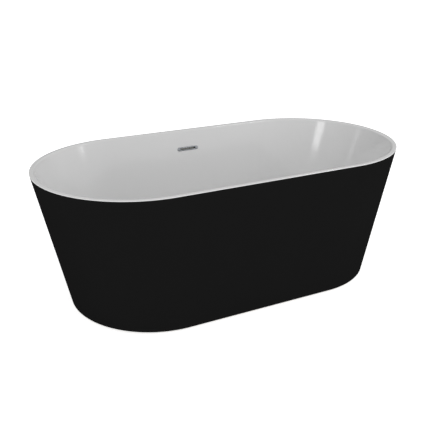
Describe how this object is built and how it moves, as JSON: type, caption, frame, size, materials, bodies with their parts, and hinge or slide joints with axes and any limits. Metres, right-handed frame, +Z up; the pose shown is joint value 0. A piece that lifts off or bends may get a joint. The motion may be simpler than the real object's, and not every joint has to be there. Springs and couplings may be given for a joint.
{
  "type": "freestanding bathtub",
  "caption": "Freestanding oval bath with a glossy white basin, a matte black leaning skirt, a slim rim, a slot overflow, a click-clack waste, a trap and levelling feet.",
  "frame": {"origin": "on the floor, at the middle of the bath's plan", "axes": "+X along the bath, +Y towards the wall with the overflow, +Z up"},
  "size_m": [1.6, 0.82, 0.574],
  "materials": {
    "white_acrylic": "glossy cast acrylic",
    "black_acrylic": "matte black gelcoat",
    "glass_fibre": "rough laid-up glass fibre",
    "adhesive": "cured polyurethane bead",
    "plywood": "sealed birch plywood",
    "zinc_steel": "zinc-plated steel",
    "spring_steel": "drawn spring wire",
    "chrome": "satin chrome plate",
    "brass": "turned brass",
    "black_rubber": "moulded EPDM",
    "foot_rubber": "moulded rubber pad",
    "black_plastic": "moulded polypropylene",
    "hose_plastic": "corrugated polyethylene hose",
    "white_plastic": "moulded polypropylene"
  },
  "bodies": {
    "tub": {"inner_basin": "white_acrylic", "basin_reinforcement": "glass_fibre", "outer_skirt": "black_acrylic", "rim_adhesive_bead": "adhesive", "base_board": "plywood", "rail_front": "zinc_steel", "rail_back": "zinc_steel", "cross_rail_left": "zinc_steel", "cross_rail_mid_left": "zinc_steel", "cross_rail_mid_right": "zinc_steel", "cross_rail_right": "zinc_steel", "rail_end_plugs": "black_plastic", "board_screws": "zinc_steel", "skirt_brackets": "zinc_steel", "bracket_screws": "zinc_steel", "foot_weld_nuts": "zinc_steel", "foot_lock_nuts": "zinc_steel", "overflow_cover": "chrome", "overflow_seal": "black_rubber", "overflow_body": "white_plastic", "overflow_screws": "zinc_steel", "overflow_hose_nut": "black_plastic", "overflow_hose": "hose_plastic", "waste_hose_nut": "black_plastic", "waste_top_seal": "black_rubber", "waste_flange": "chrome", "waste_bottom_seal": "black_rubber", "waste_body": "white_plastic", "plug_cartridge": "white_plastic", "plug_spring": "spring_steel", "trap_seal": "black_rubber", "trap_nut": "black_plastic", "trap_body": "white_plastic", "cleanout_cap": "black_plastic", "outlet_nut": "black_plastic", "outlet_pipe": "white_plastic"},
    "plug": {"plug_cap": "chrome", "plug_stem": "brass", "plug_seal": "black_rubber"},
    "foot_front_left": {"foot_stem_front_left": "zinc_steel", "foot_pad_front_left": "foot_rubber"},
    "foot_front_right": {"foot_stem_front_right": "zinc_steel", "foot_pad_front_right": "foot_rubber"},
    "foot_back_left": {"foot_stem_back_left": "zinc_steel", "foot_pad_back_left": "foot_rubber"},
    "foot_back_right": {"foot_stem_back_right": "zinc_steel", "foot_pad_back_right": "foot_rubber"}
  },
  "joints": [
    {"name": "plug_lift", "type": "slide", "parent": "tub", "child": "plug", "axis": [0, 0, 1], "range_m": [0, 0.01], "deforming": ["plug_spring"]},
    {"name": "foot_front_left_height", "type": "slide", "parent": "tub", "child": "foot_front_left", "axis": [0, 0, -1], "range_m": [0, 0.02]},
    {"name": "foot_front_right_height", "type": "slide", "parent": "tub", "child": "foot_front_right", "axis": [0, 0, -1], "range_m": [0, 0.02]},
    {"name": "foot_back_left_height", "type": "slide", "parent": "tub", "child": "foot_back_left", "axis": [0, 0, -1], "range_m": [0, 0.02]},
    {"name": "foot_back_right_height", "type": "slide", "parent": "tub", "child": "foot_back_right", "axis": [0, 0, -1], "range_m": [0, 0.02]}
  ]
}
